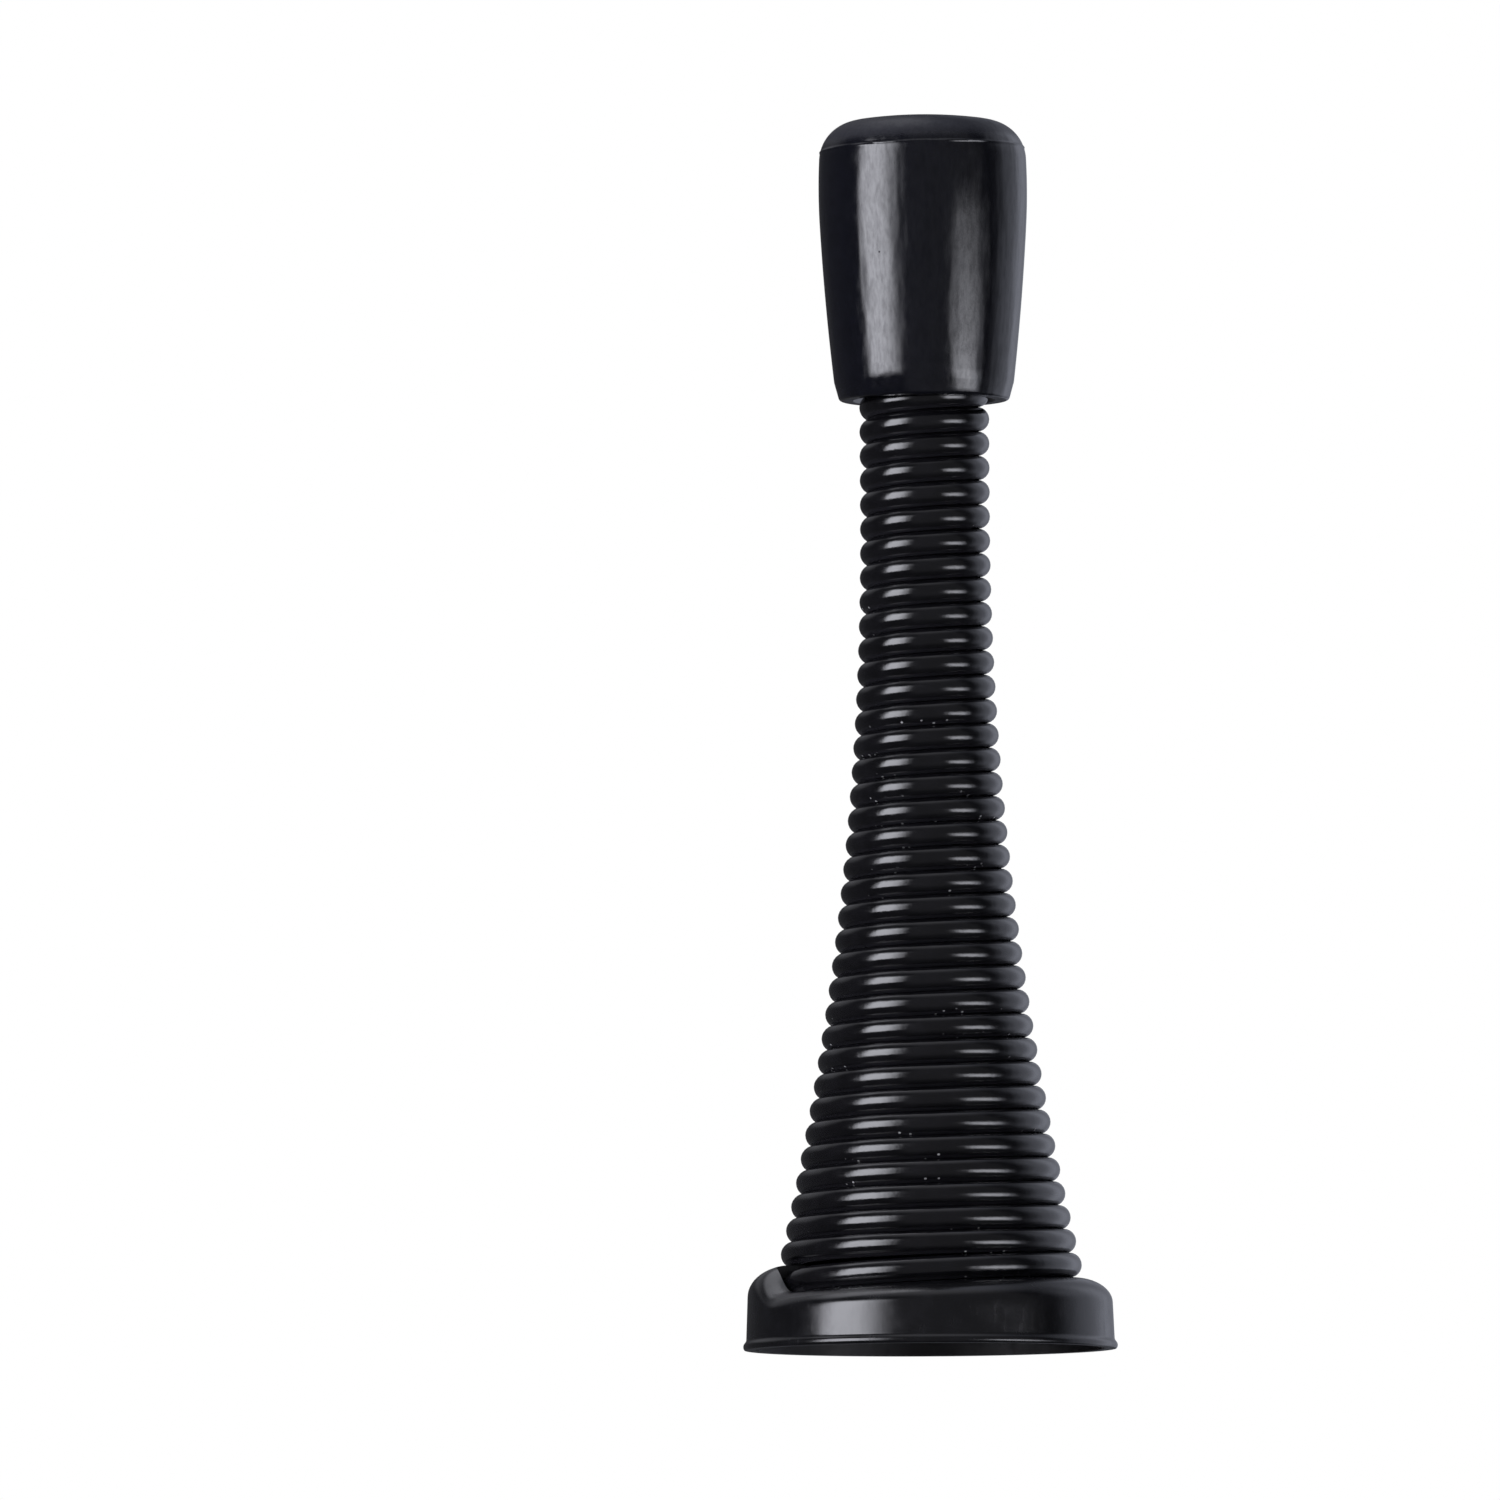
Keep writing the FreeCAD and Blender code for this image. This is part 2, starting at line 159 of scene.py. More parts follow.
# How bright the studio is
KEY_STRENGTH = 9.0
FILL_STRENGTH = 6.3
REAR_STRENGTH = 0.66
BEHIND_STRENGTH = 0.4 * REAR_STRENGTH
HIGH_LEFT_STRENGTH = 1.3
LOW_LEFT_STRENGTH = 0.2 * HIGH_LEFT_STRENGTH
FRONT_STRENGTH = 0.14
OVERHEAD_STRENGTH = 0.65
AMBIENT_STRENGTH = 0.06
SOFT_SHARE = 0.6


def ease(share):
    # 1 at the start of a stretch and 0 at its end, level at both
    share = min(max(share, 0.0), 1.0)
    return (1 + math.cos(math.pi * share)) / 2


def polar(radius, degrees, height):
    # a point in metres, from its radius and height in millimetres
    turn = math.radians(degrees)
    return Vector((radius * math.cos(turn), radius * math.sin(turn), height)) * MM


def make_piece(name, points, faces, node):
    mesh = bpy.data.meshes.new(name)
    mesh.from_pydata(points, [], faces)
    mesh.validate()
    mesh.update()
    piece = bpy.data.objects.new(name, mesh)
    bpy.context.scene.collection.objects.link(piece)
    mesh.polygons.foreach_set("use_smooth", [True] * len(mesh.polygons))
    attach(piece, "root")
    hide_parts(node)
    return piece


# Spring


def close_wound(degrees):
    along = FLARE_LENGTH - PITCH * (degrees - FIRST_TURN_END) / 360
    if along < 0:
        return NECK_LINE, FLARE_HEIGHT - along
    bend = along / FLARE_ARC
    radius = NECK_LINE + FLARE_ARC * (1 - math.cos(bend))
    return radius, FLARE_HEIGHT - FLARE_ARC * math.sin(bend)


def wire_height(degrees):
    # the tail runs on below the turn that seats on the face, one sheet and one wire lower
    if degrees < MOUTH_START:
        return wire_height(degrees + 360) - UNDER_SHEET
    dip = close_wound(MOUTH_START)[1] - close_wound(MOUTH_START + 360)[1] + UNDER_SHEET
    first_gap = FIRST_GAP * ease((degrees - MOUTH_START) / FIRST_GAP_ANGLE)
    climb = (dip - FIRST_GAP) * ease((degrees - MOUTH_START) / (MOUTH_END - MOUTH_START))
    return close_wound(degrees)[1] - first_gap - climb


def wire_point(degrees):
    return polar(close_wound(max(degrees, MOUTH_START))[0], degrees, wire_height(degrees))


def make_spring():
    steps = math.ceil((TOP_ANGLE - TAIL_END) / WIRE_STEP_DEGREES)
    points = []
    groove = []
    for i in range(steps + 1):
        degrees = TAIL_END + (TOP_ANGLE - TAIL_END) * i / steps
        center = wire_point(degrees)
        along = (wire_point(degrees + WIRE_LOOK) - wire_point(degrees - WIRE_LOOK)).normalized()
        out = polar(1, degrees, 0).normalized()
        out = (out - along * out.dot(along)).normalized()
        up = along.cross(out) * -1
        for j in range(WIRE_SIDES):
            side = 2 * math.pi * j / WIRE_SIDES
            spoke = out * math.cos(side) * WIRE_RADIUS + up * math.sin(side) * TOUCH_RADIUS
            points.append(center + spoke * MM)
            groove.append(-math.sin(side))
    faces = []
    for i in range(steps):
        for j in range(WIRE_SIDES):
            a = i * WIRE_SIDES + j
            b = i * WIRE_SIDES + (j + 1) % WIRE_SIDES
            faces.append((a, a + WIRE_SIDES, b + WIRE_SIDES, b))
    last = steps * WIRE_SIDES
    faces.append(tuple(range(WIRE_SIDES)))
    faces.append(tuple(last + j for j in range(WIRE_SIDES))[::-1])
    wire = make_piece("spring_wire", points, faces, "spring")
    # how far each point looks down into the groove below its turn, for the finish
    attribute = wire.data.attributes.new("groove", "FLOAT", "POINT")
    attribute.data.foreach_set("value", groove)
    return wire


# Cap


def climbing_face(degrees):
    # the face lies under the first turn of the wire all the way round
    return wire_height(degrees) - WIRE_RADIUS - SEAT_GAP


def face_at(degrees):
    past = (degrees - MOUTH_ANGLE + 180) % 360 - 180
    if abs(past) >= MOUTH_HALF_ANGLE:
        return climbing_face(MOUTH_ANGLE + past % 360)
    high = climbing_face(FIRST_TURN_END - MOUTH_HALF_ANGLE)
    low = climbing_face(MOUTH_END)
    return low + (high - low) * ease((past + MOUTH_HALF_ANGLE) / (2 * MOUTH_HALF_ANGLE))


def straight(start, end, count):
    # evenly spaced from start, without the end point
    return [(start[0] + (end[0] - start[0]) * i / count, start[1] + (end[1] - start[1]) * i / count)
            for i in range(count)]


def s_curve(start, end, count):
    return [(start[0] + (end[0] - start[0]) * i / count, end[1] + (start[1] - end[1]) * ease(i / count))
            for i in range(count)]


def oval(center, width, height, start, end, count):
    # part of an ellipse, by its angle in degrees, without the end point
    points = []
    for i in range(count):
        turn = math.radians(start + (end - start) * i / count)
        points.append((center[0] + width * math.cos(turn), center[1] + height * math.sin(turn)))
    return points


def bead_curve(start, end, count):
    # upright at both ends: hollow where it leaves the wall, round where it ends
    (r0, z0), (r1, z1) = start, end
    middle = (z0 + z1) / 2
    points = []
    for i in range(count):
        t = i / count
        weights = ((1 - t) ** 3, 3 * t * (1 - t) ** 2, 3 * t ** 2 * (1 - t), t ** 3)
        radius = sum(w * r for w, r in zip(weights, (r0, r0, r1, r1)))
        height = sum(w * z for w, z in zip(weights, (z0, middle, middle, z1)))
        points.append((radius, height))
    return points


def cap_section(degrees):
    # a closed loop of (radius, height), and the places in it where the mouth's slot starts and ends
    height = face_at(degrees)
    narrow = CAP_RADIUS - WALL_DRAFT
    lip = CAP_RADIUS + LIP_OVERHANG
    corner = CAP_RADIUS - SHOULDER_WIDTH
    shoulder_height = height * SHOULDER_SHARE
    shoulder = height - shoulder_height
    path = close_wound(MOUTH_ANGLE)[0]
    slot_out = path + WIRE_RADIUS + MOUTH_CLEARANCE
    slot_in = path - WIRE_RADIUS - MOUTH_CLEARANCE
    flat_end = SEAT_RADIUS - WIRE_RADIUS - FACE_MARGIN
    width = SHOULDER_WIDTH - WALL_DRAFT
    under = width - SHEET
    under_face = height - SHEET
    under_hub = HUB_HEIGHT - SHEET
    top_turn = math.degrees(math.acos((slot_out - corner) / width))
    under_turn = math.degrees(math.acos((slot_out - corner) / under))
    oval_center = (corner, shoulder)
    nose = (lip, LIP_NOSE_HEIGHT)
    wall_foot = (CAP_RADIUS, LIP_HEIGHT)
    # the lip's lower round, down to where the rim's plane cuts it
    below = LIP_NOSE_HEIGHT + LIP_ROUND_DROP
    cut = math.degrees(math.asin(LIP_NOSE_HEIGHT / below))
    rim_edge = CAP_RADIUS + LIP_OVERHANG * math.cos(math.radians(cut))
    loop = straight((CAP_RADIUS - SHEET, 0.0), (rim_edge, 0.0), 4)
    loop += oval((CAP_RADIUS, LIP_NOSE_HEIGHT), LIP_OVERHANG, below, -cut, 0, 8)
    loop += bead_curve(nose, wall_foot, 12)
    loop += straight(wall_foot, (narrow, shoulder), 6)
    loop += oval(oval_center, width, shoulder_height, 0, top_turn, 10)
    slot_first = len(loop)
    loop += oval(oval_center, width, shoulder_height, top_turn, 90, 4)
    loop += straight((corner, height), (slot_in, height), 3)
    slot_last = len(loop)
    loop += straight((slot_in, height), (flat_end, height), 2)
    loop += s_curve((flat_end, height), (HUB_RADIUS, HUB_HEIGHT), 8)
    loop += straight((HUB_RADIUS, HUB_HEIGHT), (SCREW_HOLE_RADIUS, HUB_HEIGHT), 4)
    loop += straight((SCREW_HOLE_RADIUS, HUB_HEIGHT), (SCREW_HOLE_RADIUS, under_hub), 2)
    loop += straight((SCREW_HOLE_RADIUS, under_hub), (HUB_RADIUS, under_hub), 4)
    loop += s_curve((HUB_RADIUS, under_hub), (flat_end, under_face), 8)
    loop += straight((flat_end, under_face), (slot_in, under_face), 2)
    under_first = len(loop)
    loop += straight((slot_in, under_face), (corner, under_face), 3)
    loop += oval(oval_center, under, shoulder_height - SHEET, 90, under_turn, 4)
    under_last = len(loop)
    loop += oval(oval_center, under, shoulder_height - SHEET, under_turn, 0, 8)
    loop += straight((narrow - SHEET, shoulder), (CAP_RADIUS - SHEET, 0.0), 6)
    return loop, (slot_first, slot_last, under_first, under_last)


def cap_angles():
    # even steps, with lines exactly at both sides of the mouth
    mouth = 2 * MOUTH_HALF_ANGLE
    angles = [MOUTH_START + mouth * i / MOUTH_STEPS for i in range(MOUTH_STEPS)]
    angles += [MOUTH_END + (360 - mouth) * i / CAP_STEPS for i in range(CAP_STEPS)]
    return angles


def make_cap():
    angles = cap_angles()
    points = []
    for degrees in angles:
        loop, slot = cap_section(degrees)
        points += [polar(radius, degrees, height) for radius, height in loop]
    around = len(loop)
    slot_first, slot_last, under_first, under_last = slot

    def at(i, j):
        return (i % len(angles)) * around + j % around

    def strip(i, j, k):
        # from line j to line k of the sections, one step round
        return (at(i, j), at(i + 1, j), at(i + 1, k), at(i, k))

    faces = []
    for i in range(len(angles)):
        in_mouth = i < MOUTH_STEPS
        for j in range(around):
            pierced = slot_first <= j < slot_last or under_first <= j < under_last
            if in_mouth and pierced:
                continue
            faces.append(strip(i, j, j + 1))
    # the slot's own four sides, through the sheet
    for i in range(MOUTH_STEPS):
        faces.append(strip(i, slot_first, under_last))
        faces.append(strip(i, under_first, slot_last))
    far = MOUTH_STEPS
    for k in range(slot_last - slot_first):
        top = slot_first + k
        low = under_last - k
        faces.append((at(0, top), at(0, low), at(0, low - 1), at(0, top + 1)))
        faces.append((at(far, low), at(far, top), at(far, top + 1), at(far, low - 1)))
    return make_piece("cap_shell", points, faces, "base_cap")


# Tip


def between(center, radius, start, end, count):
    # part of a circle from one point to another, without the end point
    first = math.atan2(start[1] - center[1], start[0] - center[0])
    last = math.atan2(end[1] - center[1], end[0] - center[0])
    return [(center[0] + radius * math.cos(first + (last - first) * i / count),
             center[1] + radius * math.sin(first + (last - first) * i / count)) for i in range(count)]


def meet(center_a, reach_a, center_b, reach_b):
    # where two circles cross, on the side away from the axis
    gap = math.dist(center_a, center_b)
    along = (reach_a ** 2 - reach_b ** 2 + gap ** 2) / (2 * gap)
    aside = math.sqrt(reach_a ** 2 - along ** 2)
    dx = (center_b[0] - center_a[0]) / gap
    dz = (center_b[1] - center_a[1]) / gap
    foot = (center_a[0] + along * dx, center_a[1] + along * dz)
    one_side = (foot[0] + aside * dz, foot[1] - aside * dx)
    other_side = (foot[0] - aside * dz, foot[1] + aside * dx)
    return max(one_side, other_side)


def push_out(center, point, radius):
    # the point of a circle of that radius in the direction of a point
    reach = math.dist(center, point)
    return (center[0] + (point[0] - center[0]) * radius / reach,
            center[1] + (point[1] - center[1]) * radius / reach)


def tip_section():
    crown_center = (0.0, OVERALL_LENGTH - CROWN_RADIUS)
    bulge_center = (TIP_RADIUS - BULGE_RADIUS, OVERALL_LENGTH - WIDEST_BELOW_TOP)
    edge = CROWN_EDGE_RADIUS
    edge_center = meet(crown_center, CROWN_RADIUS - edge, bulge_center, BULGE_RADIUS - edge)
    crown_end = push_out(crown_center, edge_center, CROWN_RADIUS)
    bulge_start = push_out(bulge_center, edge_center, BULGE_RADIUS)
    taper_height = OVERALL_LENGTH - TAPER_BELOW_TOP
    taper_turn = math.asin((bulge_center[1] - taper_height) / BULGE_RADIUS)
    joint = (bulge_center[0] + BULGE_RADIUS * math.cos(taper_turn), taper_height)
    inward = ((bulge_center[0] - joint[0]) / BULGE_RADIUS, (bulge_center[1] - joint[1]) / BULGE_RADIUS)
    wall_end = (TIP_MOUTH_RADIUS + FOOT_BEVEL_WIDTH, TIP_FOOT + FOOT_BEVEL_HEIGHT)
    chord = (wall_end[0] - joint[0], wall_end[1] - joint[1])
    wall = (chord[0] ** 2 + chord[1] ** 2) / (2 * (chord[0] * inward[0] + chord[1] * inward[1]))
    wall_center = (joint[0] + wall * inward[0], joint[1] + wall * inward[1])
    # the rounded edge between the bevel and the level foot
    round_foot = MOUTH_EDGE_RADIUS
    slope = math.atan2(FOOT_BEVEL_WIDTH, FOOT_BEVEL_HEIGHT)
    reach = round_foot * math.tan((math.pi / 2 - slope) / 2)
    bevel_end = (TIP_MOUTH_RADIUS + reach * math.sin(slope), TIP_FOOT + reach * math.cos(slope))
    foot_end = (TIP_MOUTH_RADIUS - reach, TIP_FOOT)
    foot_center = (foot_end[0], TIP_FOOT + round_foot)
    bore = NECK_RADIUS + BORE_CLEARANCE
    chamfer_top = TIP_FOOT + MOUTH_OPENING_DEPTH
    bore_top = TIP_FOOT + TIP_GRIP + BORE_OVER_COILS
    loop = between(crown_center, CROWN_RADIUS, (CROWN_FAN_RADIUS, OVERALL_LENGTH), crown_end, 16)
    loop += between(edge_center, edge, crown_end, bulge_start, 70)
    loop += between(bulge_center, BULGE_RADIUS, bulge_start, joint, 60)
    loop += between(wall_center, wall, joint, wall_end, 22)
    loop += straight(wall_end, bevel_end, 4)
    loop += between(foot_center, round_foot, bevel_end, foot_end, 6)
    loop += straight(foot_end, (MOUTH_OPENING_RADIUS, TIP_FOOT), 3)
    loop += straight((MOUTH_OPENING_RADIUS, TIP_FOOT), (bore, chamfer_top), 3)
    loop += straight((bore, chamfer_top), (bore, bore_top), 8)
    loop += straight((bore, bore_top), (BORE_FAN_RADIUS, bore_top), 4)
    loop.append((BORE_FAN_RADIUS, bore_top))
    return loop


def with_seam(radius, degrees, height):
    # the moulding's surface, proud where the parting line crosses it
    x = radius * math.cos(math.radians(degrees))
    seam = SEAM_PLACE + SEAM_SLOPE * x
    proud = SEAM_HEIGHT * math.exp(-((height - seam) / SEAM_WIDTH) ** 2)
    return polar(radius + proud, degrees, height)


def make_tip():
    loop = tip_section()
    points = []
    for i in range(TIP_STEPS):
        degrees = 360 * i / TIP_STEPS
        points += [with_seam(radius, degrees, height) for radius, height in loop]
    around = len(loop)
    points.append(polar(0, 0, OVERALL_LENGTH))
    points.append(polar(0, 0, loop[-1][1]))
    crown = len(points) - 2
    bottom = len(points) - 1
    faces = []
    for i in range(TIP_STEPS):
        here = i * around
        ahead = (i + 1) % TIP_STEPS * around
        for j in range(around - 1):
            faces.append((here + j, here + j + 1, ahead + j + 1, ahead + j))
        faces.append((crown, here, ahead))
        faces.append((bottom, ahead + around - 1, here + around - 1))
    return make_piece("tip_moulding", points, faces, "rubber_tip")


spring = make_spring()
cap = make_cap()
tip = make_tip()


# Node helpers


def new_material(name):
    material = bpy.data.materials.new(name)
    material.use_nodes = True
    tree = material.node_tree
    tree.nodes.clear()
    output = tree.nodes.new("ShaderNodeOutputMaterial")
    shader = tree.nodes.new("ShaderNodeBsdfPrincipled")
    tree.links.new(shader.outputs[0], output.inputs[0])
    return material, tree, shader


def feed(tree, socket, value):
    if isinstance(value, (int, float, tuple)):
        socket.default_value = value
    elif value is not None:
        tree.links.new(value, socket)


def math_node(tree, operation, a, b=None, c=None):
    node = tree.nodes.new("ShaderNodeMath")
    node.operation = operation
    for socket, value in zip(node.inputs, (a, b, c)):
        feed(tree, socket, value)
    return node.outputs[0]


def smooth_step(tree, value, low, high, start=0.0, end=1.0):
    # start below low, end above high, with a soft change between
    node = tree.nodes.new("ShaderNodeMapRange")
    node.interpolation_type = "SMOOTHSTEP"
    for name, number in (("From Min", low), ("From Max", high), ("To Min", start), ("To Max", end)):
        node.inputs[name].default_value = number
    tree.links.new(value, node.inputs["Value"])
    return node.outputs["Result"]


def noise_node(tree, place, per_mm, detail, roughness):
    node = tree.nodes.new("ShaderNodeTexNoise")
    node.inputs["Scale"].default_value = per_mm
    node.inputs["Detail"].default_value = detail
    node.inputs["Roughness"].default_value = roughness
    tree.links.new(place, node.inputs["Vector"])
    return node.outputs[0]


def place_in_mm(tree, stretch=(1.0, 1.0, 1.0)):
    # the surface's own place in millimetres, stretched along an axis for streaks
    coordinates = tree.nodes.new("ShaderNodeTexCoord")
    scale = tree.nodes.new("ShaderNodeVectorMath")
    scale.operation = "MULTIPLY"
    scale.inputs[1].default_value = tuple(share / MM for share in stretch)
    tree.links.new(coordinates.outputs["Object"], scale.inputs[0])
    return scale.outputs[0]


def axes_of(tree, vector):
    # its x, y and z
    split = tree.nodes.new("ShaderNodeSeparateXYZ")
    tree.links.new(vector, split.inputs[0])
    return tuple(split.outputs)


def mix_colour(tree, share, low, high):
    node = tree.nodes.new("ShaderNodeMix")
    node.data_type = "RGBA"
    feed(tree, node.inputs["Factor"], share)
    feed(tree, node.inputs["A"], low)
    feed(tree, node.inputs["B"], high)
    return node.outputs["Result"]


def bump_node(tree, height, depth_mm, below=None):
    node = tree.nodes.new("ShaderNodeBump")
    node.inputs["Strength"].default_value = 1.0
    node.inputs["Distance"].default_value = depth_mm * MM
    tree.links.new(height, node.inputs["Height"])
    if below is not None:
        tree.links.new(below, node.inputs["Normal"])
    return node.outputs[0]


def specks(tree, place, spacing_mm, share, radius_mm):
    # one round speck in a share of the cells of a Voronoi pattern, full in its inner half
    node = tree.nodes.new("ShaderNodeTexVoronoi")
    node.inputs["Scale"].default_value = 1 / spacing_mm
    tree.links.new(place, node.inputs["Vector"])
    split = tree.nodes.new("ShaderNodeSeparateColor")
    tree.links.new(node.outputs["Color"], split.inputs[0])
    chosen = math_node(tree, "LESS_THAN", split.outputs[0], share)
    radius = radius_mm / spacing_mm
    near = smooth_step(tree, node.outputs["Distance"], radius * 0.5, radius, start=1.0, end=0.0)
    return math_node(tree, "MULTIPLY", chosen, near)


# Finish: enamel and rubber


def enamel_gloss(tree, place, streaks):
    # how rough a gloss enamel is, with patches and fine scuffs, and the two noises that make them
    patches = noise_node(tree, place, per_mm=0.6, detail=3.0, roughness=0.6)
    scuffs = noise_node(tree, place_in_mm(tree, streaks), per_mm=3.0, detail=4.0, roughness=0.65)
    scuffed = smooth_step(tree, scuffs, 0.5, 0.75, start=0.0, end=0.1)
    patchy = smooth_step(tree, patches, 0.3, 0.75, start=0.11, end=0.19)
    return math_node(tree, "ADD", patchy, scuffed), patches, scuffs


def spring_enamel():
    # glossy wire: orange peel, dull patches, beads of paint and dust along the grooves painted as white
    # glints, and grooves lightened as painted light
    material, tree, shader = new_material("spring_enamel")
    place = place_in_mm(tree)
    gloss, patches, scuffs = enamel_gloss(tree, place, (1.0, 1.0, 3.0))
    groove = tree.nodes.new("ShaderNodeAttribute")
    groove.attribute_name = "groove"
    under = smooth_step(tree, groove.outputs["Fac"], 0.5, 0.64)
    deep = smooth_step(tree, groove.outputs["Fac"], 0.6, 1.0)
    clusters = noise_node(tree, place, per_mm=0.16, detail=1.0, roughness=0.5)
    clusters = smooth_step(tree, clusters, 0.57, 0.63)
    # painted highlight: the beads are white spots of colour standing in for glints off paint bubbles in
    # the grooves
    glint_beads = specks(tree, place, spacing_mm=0.42, share=0.34, radius_mm=0.11)
    glint_beads = math_node(tree, "MULTIPLY", math_node(tree, "MULTIPLY", glint_beads, under), clusters)
    motes = specks(tree, place, spacing_mm=2.4, share=0.05, radius_mm=0.08)
    marks = math_node(tree, "MAXIMUM", glint_beads, motes)
    tone = mix_colour(tree, smooth_step(tree, patches, 0.35, 0.7), WIRE_DARK, WIRE_LIGHT)
    # the undersides down in the grooves are dusty and duller, and their colour is lightened as painted
    # light against the shade there
    tone = mix_colour(tree, deep, tone, WIRE_GROOVE_DUST_AND_PAINTED_LIGHT)
    sheen = math_node(tree, "MULTIPLY_ADD", deep, -0.3, 0.5)
    tree.links.new(mix_colour(tree, marks, tone, WIRE_DUST_AND_GLINT), shader.inputs["Base Color"])
    tree.links.new(sheen, shader.inputs["Specular IOR Level"])
    tree.links.new(gloss, shader.inputs["Roughness"])
    peel = noise_node(tree, place, per_mm=1.7, detail=2.5, roughness=0.55)
    peeled = bump_node(tree, peel, depth_mm=0.011)
    scratched = bump_node(tree, scuffs, depth_mm=0.003, below=peeled)
    tree.links.new(bump_node(tree, marks, depth_mm=0.05, below=scratched), shader.inputs["Normal"])
    return material


def cap_enamel():
    # glossy outside with faint upright scuffs, dull thin paint inside
    material, tree, shader = new_material("cap_enamel")
    place = place_in_mm(tree)
    gloss, patches, scuffs = enamel_gloss(tree, place, (1.0, 1.0, 0.2))
    x, y, z = axes_of(tree, place)
    squared = math_node(tree, "MULTIPLY_ADD", x, x, math_node(tree, "MULTIPLY", y, y))
    reach = math_node(tree, "SQRT", squared)
    # the change from outside to inside lies within the sheet
    in_wall = smooth_step(tree, reach, CAP_RADIUS - SHEET, CAP_RADIUS - 0.6 * SHEET, start=1.0, end=0.0)
    in_hub = smooth_step(tree, z, HUB_HEIGHT - SHEET, HUB_HEIGHT - 0.5 * SHEET, start=1.0, end=0.0)
    inside = math_node(tree, "MULTIPLY", in_wall, in_hub)
    motes = specks(tree, place, spacing_mm=1.9, share=0.1, radius_mm=0.07)
    tone = mix_colour(tree, smooth_step(tree, patches, 0.35, 0.7), CAP_DARK, CAP_LIGHT)
    tone = mix_colour(tree, inside, tone, CAP_INSIDE)
    tree.links.new(mix_colour(tree, motes, tone, CAP_MOTE), shader.inputs["Base Color"])
    outside_gloss = math_node(tree, "ADD", gloss, 0.05)
    all_gloss = math_node(tree, "MULTIPLY_ADD", inside, 0.4, outside_gloss)
    tree.links.new(all_gloss, shader.inputs["Roughness"])
    peel = noise_node(tree, place, per_mm=0.8, detail=3.0, roughness=0.5)
    peeled = bump_node(tree, peel, depth_mm=0.008)
    scratched = bump_node(tree, scuffs, depth_mm=0.003, below=peeled)
    tree.links.new(bump_node(tree, motes, depth_mm=0.03, below=scratched), shader.inputs["Normal"])
    return material


def black_rubber():
    # smooth moulding with a satin crown, faint ripples down the wall, pits and specks
    material, tree, shader = new_material("tip_rubber")
    place = place_in_mm(tree)
    x, _, z = axes_of(tree, place)
    seam = math_node(tree, "MULTIPLY_ADD", x, SEAM_SLOPE, SEAM_PLACE)
    above = math_node(tree, "SUBTRACT", z, seam)
    crown = smooth_step(tree, above, 0.1, 0.9)
    mottle = noise_node(tree, place, per_mm=0.9, detail=3.0, roughness=0.6)
    drawn = place_in_mm(tree, (1.0, 1.0, 0.5))
    clouds = noise_node(tree, drawn, per_mm=1.6, detail=4.0, roughness=0.65)
    fine = noise_node(tree, place, per_mm=6.0, detail=3.0, roughness=0.6)
    long_drawn = place_in_mm(tree, (1.0, 1.0, 0.22))
    ripple = noise_node(tree, long_drawn, per_mm=0.55, detail=2.0, roughness=0.5)
    pits = specks(tree, place, spacing_mm=1.5, share=0.12, radius_mm=0.07)
    squat = place_in_mm(tree, (1.0, 1.0, 1.3))
    motes = specks(tree, squat, spacing_mm=2.9, share=0.14, radius_mm=0.09)
    thin = place_in_mm(tree, (2.2, 2.2, 0.3))
    scratches = noise_node(tree, thin, per_mm=1.3, detail=5.0, roughness=0.7)
    scratches = smooth_step(tree, scratches, 0.66, 0.72)
    tone = mix_colour(tree, smooth_step(tree, mottle, 0.3, 0.7), RUBBER_DARK, RUBBER_LIGHT)
    tone = mix_colour(tree, crown, tone, RUBBER_CROWN)
    tree.links.new(mix_colour(tree, motes, tone, RUBBER_MOTE), shader.inputs["Base Color"])
    clouded = smooth_step(tree, clouds, 0.35, 0.7, start=0.1, end=0.2)
    wall_gloss = math_node(tree, "MULTIPLY_ADD", scratches, 0.1, clouded)
    crown_gloss = smooth_step(tree, x, -TIP_RADIUS, TIP_RADIUS * 0.4, start=0.52, end=0.34)
    gloss = tree.nodes.new("ShaderNodeMix")
    for name, value in (("Factor", crown), ("A", wall_gloss), ("B", crown_gloss)):
        feed(tree, gloss.inputs[name], value)
    tree.links.new(gloss.outputs["Result"], shader.inputs["Roughness"])
    streaky = place_in_mm(tree, (1.0, 1.0, 0.25))
    streaks = noise_node(tree, streaky, per_mm=4.5, detail=5.0, roughness=0.7)
    sheen = smooth_step(tree, streaks, 0.32, 0.62, start=0.36, end=0.52)
    satin = smooth_step(tree, crown, 0.5, 1.0, start=1.0, end=0.62)
    tree.links.new(math_node(tree, "MULTIPLY", sheen, satin), shader.inputs["Specular IOR Level"])
    waves = bump_node(tree, ripple, depth_mm=0.07)
    grain = bump_node(tree, fine, depth_mm=0.0016, below=waves)
    marks = math_node(tree, "SUBTRACT", motes, pits)
    tree.links.new(bump_node(tree, marks, depth_mm=0.03, below=grain), shader.inputs["Normal"])
    return material


spring.data.materials.append(spring_enamel())
cap.data.materials.append(cap_enamel())
tip.data.materials.append(black_rubber())
for piece in (spring, cap, tip):
    piece.data.set_sharp_from_angle(angle=math.radians(SHARP_ANGLE))


# Camera, studio and floor


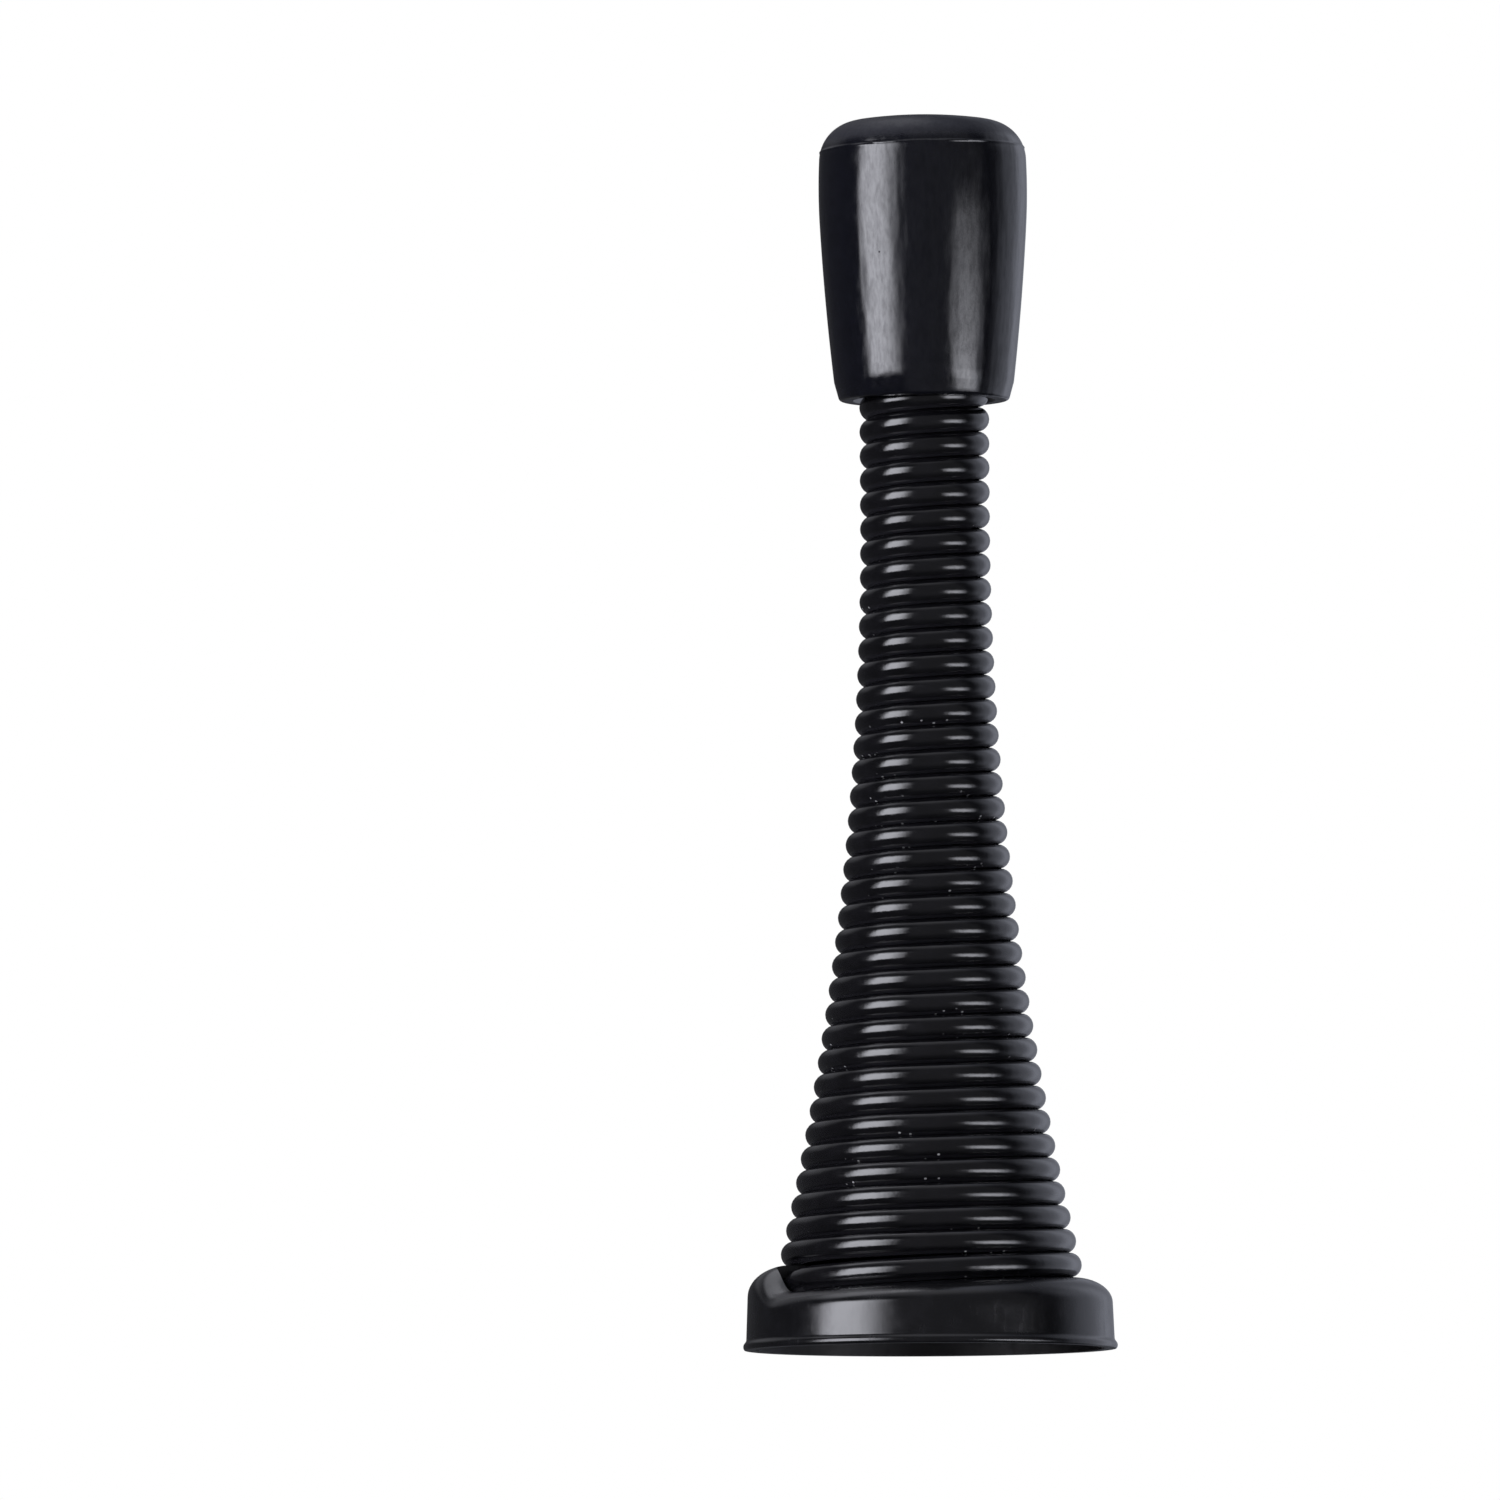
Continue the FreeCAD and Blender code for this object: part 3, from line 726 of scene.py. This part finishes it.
def camera_setup():
    # it stands a little below the floor and looks slightly up, as the photograph does
    data = bpy.data.cameras.new("camera")
    camera = bpy.data.objects.new("camera", data)
    bpy.context.scene.collection.objects.link(camera)
    frame_pixels = 1500.0
    pixels_per_mm = 15.45
    axis_pixel = 926.5
    rim_pixel = 1350.7
    aim_height = (rim_pixel - frame_pixels / 2) / pixels_per_mm
    aim_side = (frame_pixels / 2 - axis_pixel) / pixels_per_mm
    distance = 1.3
    rise = math.radians(-3.9)
    roll = math.radians(-0.35)
    aim = Vector((aim_side, 0, aim_height)) * MM
    back = Vector((0, -math.cos(rise), math.sin(rise)))
    camera.location = aim + back * distance
    turn = back.to_track_quat("Z", "Y").to_matrix().to_4x4() @ Matrix.Rotation(roll, 4, "Z")
    camera.matrix_world = Matrix.Translation(camera.location) @ turn
    data.sensor_fit = "HORIZONTAL"
    data.sensor_width = 36.0
    data.angle = 2 * math.atan(frame_pixels / pixels_per_mm / 2 * MM / distance)
    data.clip_start = 0.01
    data.clip_end = 50
    bpy.context.scene.camera = camera


def make_world():
    # softboxes painted by direction: degrees round from the front, positive to the right,
    # and degrees up
    world = bpy.data.worlds.new("studio")
    bpy.context.scene.world = world
    world.use_nodes = True
    tree = world.node_tree
    tree.nodes.clear()
    output = tree.nodes.new("ShaderNodeOutputWorld")
    coordinates = tree.nodes.new("ShaderNodeTexCoord")
    x, y, z = axes_of(tree, coordinates.outputs["Generated"])
    forward = math_node(tree, "MULTIPLY", y, -1.0)
    per_radian = math.degrees(1)
    around = math_node(tree, "MULTIPLY", math_node(tree, "ARCTAN2", x, forward), per_radian)
    up = math_node(tree, "MULTIPLY", math_node(tree, "ARCSINE", z), per_radian)

    def softbox(sides, heights, strength, lean=0.0):
        # the light comes in between the first two angles and goes out between the last two;
        # lean shifts it sideways as it rises
        leaning = math_node(tree, "MULTIPLY_ADD", up, -lean, around)
        shape = strength
        for angle, (come_in, go_out) in ((leaning, sides), (up, heights)):
            shape = math_node(tree, "MULTIPLY", smooth_step(tree, angle, *come_in), shape)
            fading = smooth_step(tree, angle, *go_out, start=1.0, end=0.0)
            shape = math_node(tree, "MULTIPLY", fading, shape)
        return shape

    key = softbox(((-80, -66), (-52, -22)), ((-15, -9), (28, 42)), KEY_STRENGTH)
    fill = softbox(((25, 43), (54, 80)), ((-30, -20), (-12, 4.5)), FILL_STRENGTH, lean=-0.35)
    rear = softbox(((84, 112), (134, 164)), ((-38, -14), (26, 62)), REAR_STRENGTH)
    behind = softbox(((120, 150), (174, 180)), ((-38, -14), (26, 62)), BEHIND_STRENGTH)
    low_left = softbox(((-180, -172), (-132, -108)), ((10, 28), (40, 60)), LOW_LEFT_STRENGTH)
    high_left = softbox(((-180, -172), (-110, -88)), ((44, 58), (82, 89)), HIGH_LEFT_STRENGTH)
    front = softbox(((-34, -16), (60, 80)), ((-60, -25), (50, 70)), FRONT_STRENGTH)
    overhead = math_node(tree, "MULTIPLY", smooth_step(tree, up, 48, 80), OVERHEAD_STRENGTH)
    total = AMBIENT_STRENGTH
    for light in (key, fill, rear, behind, low_left, high_left, front, overhead):
        total = math_node(tree, "ADD", light, total)
    paths = tree.nodes.new("ShaderNodeLightPath")
    # soft surfaces gather a share of the light; gloss sees the lights as bright as they are
    share = math_node(tree, "MULTIPLY_ADD", paths.outputs["Is Glossy Ray"], 1 - SOFT_SHARE, SOFT_SHARE)
    studio = tree.nodes.new("ShaderNodeBackground")
    # the light from the right and from behind it is bluer
    tint = mix_colour(tree, smooth_step(tree, around, 60, 95), STUDIO_TINT, REAR_TINT)
    tree.links.new(tint, studio.inputs["Color"])
    tree.links.new(math_node(tree, "MULTIPLY", total, share), studio.inputs["Strength"])
    paper = tree.nodes.new("ShaderNodeBackground")
    paper.inputs["Color"].default_value = PAPER_WHITE
    paper.inputs["Strength"].default_value = 1.0
    mix = tree.nodes.new("ShaderNodeMixShader")
    tree.links.new(paths.outputs["Is Camera Ray"], mix.inputs[0])
    tree.links.new(studio.outputs[0], mix.inputs[1])
    tree.links.new(paper.outputs[0], mix.inputs[2])
    tree.links.new(mix.outputs[0], output.inputs[0])


def make_floor():
    # pale near the stop and white further out; clear from below and to gloss
    reach = 1.5
    white_from = 0.06
    white_full = 0.3
    least_white = 0.5
    mesh = bpy.data.meshes.new("floor")
    corners = [(-reach, -reach, 0), (reach, -reach, 0), (reach, reach, 0), (-reach, reach, 0)]
    mesh.from_pydata(corners, [], [(0, 1, 2, 3)])
    floor = bpy.data.objects.new("floor", mesh)
    bpy.context.scene.collection.objects.link(floor)
    material, tree, shader = new_material("pale_floor")
    shader.inputs["Base Color"].default_value = FLOOR_TONE
    shader.inputs["Roughness"].default_value = 0.9
    output = [node for node in tree.nodes if node.type == "OUTPUT_MATERIAL"][0]
    place = tree.nodes.new("ShaderNodeTexCoord")
    length = tree.nodes.new("ShaderNodeVectorMath")
    length.operation = "LENGTH"
    tree.links.new(place.outputs["Object"], length.inputs[0])
    white = tree.nodes.new("ShaderNodeEmission")
    paths = tree.nodes.new("ShaderNodeLightPath")
    far = smooth_step(tree, length.outputs["Value"], white_from, white_full)
    pale = math_node(tree, "MAXIMUM", far, least_white)
    seen = math_node(tree, "MULTIPLY", pale, paths.outputs["Is Camera Ray"])
    faded = tree.nodes.new("ShaderNodeMixShader")
    for socket, value in zip(faded.inputs, (seen, shader.outputs[0], white.outputs[0])):
        tree.links.new(value, socket)
    clear = tree.nodes.new("ShaderNodeBsdfTransparent")
    side = tree.nodes.new("ShaderNodeNewGeometry")
    hidden = math_node(tree, "MAXIMUM", side.outputs["Backfacing"], paths.outputs["Is Glossy Ray"])
    mix = tree.nodes.new("ShaderNodeMixShader")
    for socket, value in zip(mix.inputs, (hidden, faded.outputs[0], clear.outputs[0])):
        tree.links.new(value, socket)
    tree.links.new(mix.outputs[0], output.inputs[0])
    mesh.materials.append(material)


camera_setup()
make_world()
make_floor()
bpy.context.scene.view_settings.view_transform = "Standard"
